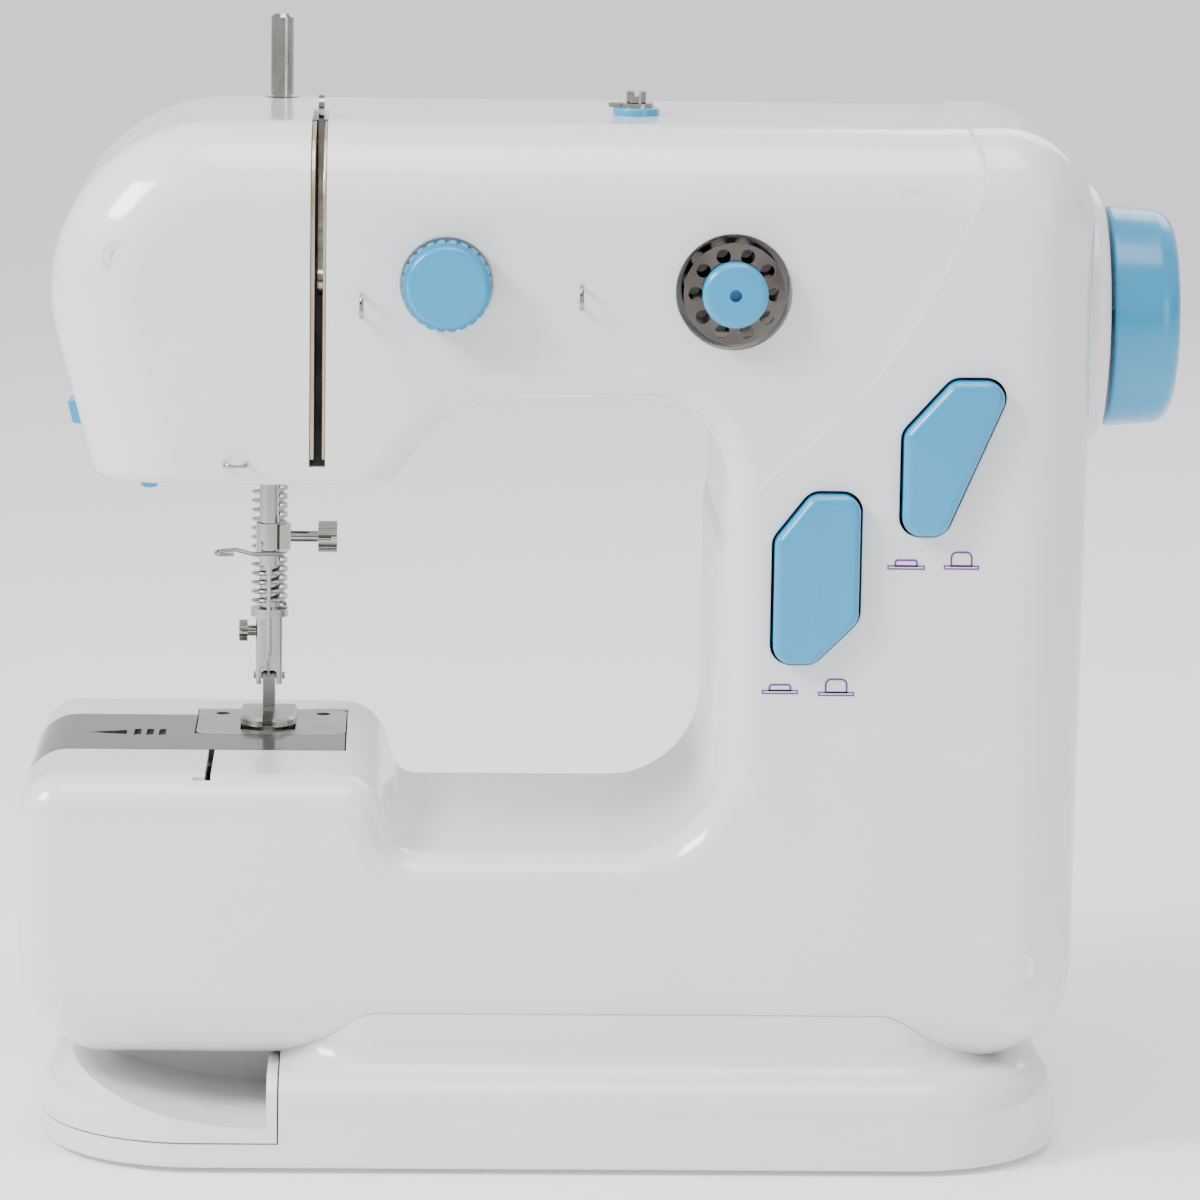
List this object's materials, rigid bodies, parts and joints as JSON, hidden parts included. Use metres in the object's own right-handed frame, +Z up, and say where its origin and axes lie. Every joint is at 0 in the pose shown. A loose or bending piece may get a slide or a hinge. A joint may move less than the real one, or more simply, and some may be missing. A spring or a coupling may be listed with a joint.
{
  "type": "sewing machine",
  "caption": "Portable electric sewing machine with a round-ended arm, free bed, handwheel, push buttons, bobbin winder, presser foot and a flared base with a drawer.",
  "frame": {"origin": "middle of the machine's footprint, on the table under the rubber feet", "axes": "+X along the arm towards the handwheel, +Y away from the operator, +Z up"},
  "size_m": [0.2376, 0.11, 0.2298],
  "materials": {
    "white_shell": "glossy moulded ABS",
    "blue_plastic": "glossy sky-blue ABS",
    "smoke_plastic": "translucent smoke plastic",
    "chrome": "polished nickel plate",
    "satin_steel": "brushed steel",
    "steel": "turned steel",
    "spring_steel": "drawn spring wire",
    "dark_plastic": "dark moulded plastic",
    "gear_plastic": "white acetal",
    "brass": "turned brass",
    "belt_rubber": "moulded belt",
    "rubber": "matt rubber",
    "cast_frame": "die-cast",
    "board": "solder-masked board",
    "lens": "clear lens"
  },
  "bodies": {
    "case": {"base": "white_shell", "bed_tray": "dark_plastic", "bobbin_case": "dark_plastic", "case_screws": "steel", "circuit_board": "board", "cutter_blade": "satin_steel", "drive_belt": "belt_rubber", "foot_jack": "chrome", "front_shell": "white_shell", "guide_post": "chrome", "guide_washer": "blue_plastic", "inner_frame": "cast_frame", "lamp": "lens", "motor": "steel", "needle_plate": "satin_steel", "power_inlet": "dark_plastic", "presser_spring": "spring_steel", "rear_shell": "white_shell", "rubber_feet": "rubber", "shaft_bushes": "brass", "tension_discs": "satin_steel", "tension_stud": "steel", "thread_cutter": "blue_plastic", "thread_guides": "chrome", "timing_belt": "belt_rubber", "wheel_collar": "white_shell", "winder_cup": "white_shell"},
    "wheel_shaft": {"handwheel": "blue_plastic", "main_shaft": "steel", "drive_pulley": "gear_plastic"},
    "motor_rotor": {"motor_pulley": "brass"},
    "lower_drive": {"lower_shaft": "steel"},
    "hook_drive": {"hook": "dark_plastic"},
    "lower_reel": {"lower_bobbin": "chrome"},
    "needle_drive": {"needle_bar": "chrome", "needle_yoke": "satin_steel", "needle_clamp": "chrome", "needle": "chrome", "needle_thread_guide": "chrome"},
    "clamp_knob": {"clamp_screw": "chrome"},
    "take_up": {"take_up_lever": "chrome"},
    "feed": {"feed_dog": "satin_steel"},
    "presser": {"presser_bar": "chrome", "presser_bracket": "satin_steel", "foot_holder": "chrome", "foot_screw": "chrome"},
    "foot": {"presser_foot": "satin_steel"},
    "lifter": {"presser_lifter": "gear_plastic"},
    "spool": {"spool_pin": "chrome"},
    "tension": {"tension_knob": "blue_plastic"},
    "winder": {"upper_bobbin": "chrome", "bobbin_cap": "blue_plastic", "winder_spindle": "steel"},
    "cover": {"bobbin_cover": "smoke_plastic"},
    "drawer_tray": {"drawer": "white_shell"},
    "battery_lid": {"battery_door": "white_shell"},
    "power_key": {"power_button": "blue_plastic"},
    "speed_key": {"speed_button": "blue_plastic"},
    "lamp_key": {"lamp_button": "blue_plastic"}
  },
  "joints": [
    {"name": "handwheel_spin", "type": "hinge", "parent": "case", "child": "wheel_shaft", "pos_m": [0.1, 0, 0.1708], "axis": [1, 0, 0], "continuous": true},
    {"name": "motor_spin", "type": "hinge", "parent": "case", "child": "motor_rotor", "pos_m": [0.08, 0.012, 0.112], "axis": [1, 0, 0], "continuous": true},
    {"name": "lower_shaft_spin", "type": "hinge", "parent": "case", "child": "lower_drive", "pos_m": [0, -0.0015, 0.05], "axis": [1, 0, 0], "continuous": true},
    {"name": "hook_spin", "type": "hinge", "parent": "case", "child": "hook_drive", "pos_m": [-0.069, -0.0015, 0.06], "axis": [0, 0, 1], "continuous": true},
    {"name": "lower_bobbin_spin", "type": "hinge", "parent": "case", "child": "lower_reel", "pos_m": [-0.069, -0.0015, 0.065], "axis": [0, 0, 1], "continuous": true},
    {"name": "needle_slide", "type": "slide", "parent": "case", "child": "needle_drive", "axis": [0, 0, 1], "range_m": [-0.02, 0]},
    {"name": "clamp_screw_turn", "type": "hinge", "parent": "needle_drive", "child": "clamp_knob", "pos_m": [-0.059, 0.012, 0.1206], "axis": [1, 0, 0], "range_deg": [-360, 0]},
    {"name": "take_up_swing", "type": "hinge", "parent": "case", "child": "take_up", "pos_m": [-0.058, -0.017, 0.1785], "axis": [1, 0, 0], "range_deg": [0, 95]},
    {"name": "feed_slide", "type": "slide", "parent": "case", "child": "feed", "axis": [0, 1, 0], "range_m": [0, 0.0024]},
    {"name": "presser_lift", "type": "slide", "parent": "case", "child": "presser", "axis": [0, 0, 1], "range_m": [0, 0.006], "stiffness_N_per_m": 300, "springref_m": -0.01, "deforming": ["presser_spring"]},
    {"name": "foot_tilt", "type": "hinge", "parent": "presser", "child": "foot", "pos_m": [-0.069, 0.019, 0.0894], "axis": [-1, 0, 0], "range_deg": [0, 3.5]},
    {"name": "lifter_turn", "type": "hinge", "parent": "case", "child": "lifter", "pos_m": [-0.069, 0.03, 0.15], "axis": [0, -1, 0], "range_deg": [0, 90]},
    {"name": "spool_pin_slide", "type": "slide", "parent": "case", "child": "spool", "axis": [0, 0, 1], "range_m": [-0.012, 0]},
    {"name": "tension_turn", "type": "hinge", "parent": "case", "child": "tension", "pos_m": [-0.0324, -0.048, 0.1815], "axis": [0, -1, 0], "range_deg": [-170, 170]},
    {"name": "winder_spin", "type": "hinge", "parent": "case", "child": "winder", "pos_m": [0.0252, -0.045, 0.1803], "axis": [0, -1, 0], "continuous": true},
    {"name": "cover_slide", "type": "slide", "parent": "case", "child": "cover", "axis": [-1, 0, 0], "range_m": [0, 0.045]},
    {"name": "drawer_slide", "type": "slide", "parent": "case", "child": "drawer_tray", "axis": [-1, 0, 0], "range_m": [0, 0.052]},
    {"name": "battery_door_hinge", "type": "hinge", "parent": "case", "child": "battery_lid", "pos_m": [0.0071, 0, 0.0018], "axis": [0, 1, 0], "range_deg": [0, 100]},
    {"name": "power_press", "type": "slide", "parent": "case", "child": "power_key", "axis": [0, 1, 0], "range_m": [0, 0.003], "stiffness_N_per_m": 400},
    {"name": "speed_press", "type": "slide", "parent": "case", "child": "speed_key", "axis": [0, 1, 0], "range_m": [0, 0.003], "stiffness_N_per_m": 400},
    {"name": "lamp_press", "type": "slide", "parent": "case", "child": "lamp_key", "axis": [0, 0, 1], "range_m": [0, 0.0015], "stiffness_N_per_m": 300}
  ],
  "couplings": [
    {"joint": "motor_spin", "follows": "handwheel_spin", "ratio": 5},
    {"joint": "lower_shaft_spin", "follows": "handwheel_spin", "ratio": 1},
    {"joint": "hook_spin", "follows": "handwheel_spin", "ratio": -1},
    {"joint": "take_up_swing", "follows": "needle_slide", "rad_per_m": -82.9},
    {"joint": "feed_slide", "follows": "needle_slide", "ratio": -0.12},
    {"joint": "lifter_turn", "follows": "presser_lift", "rad_per_m": 261.79}
  ]
}
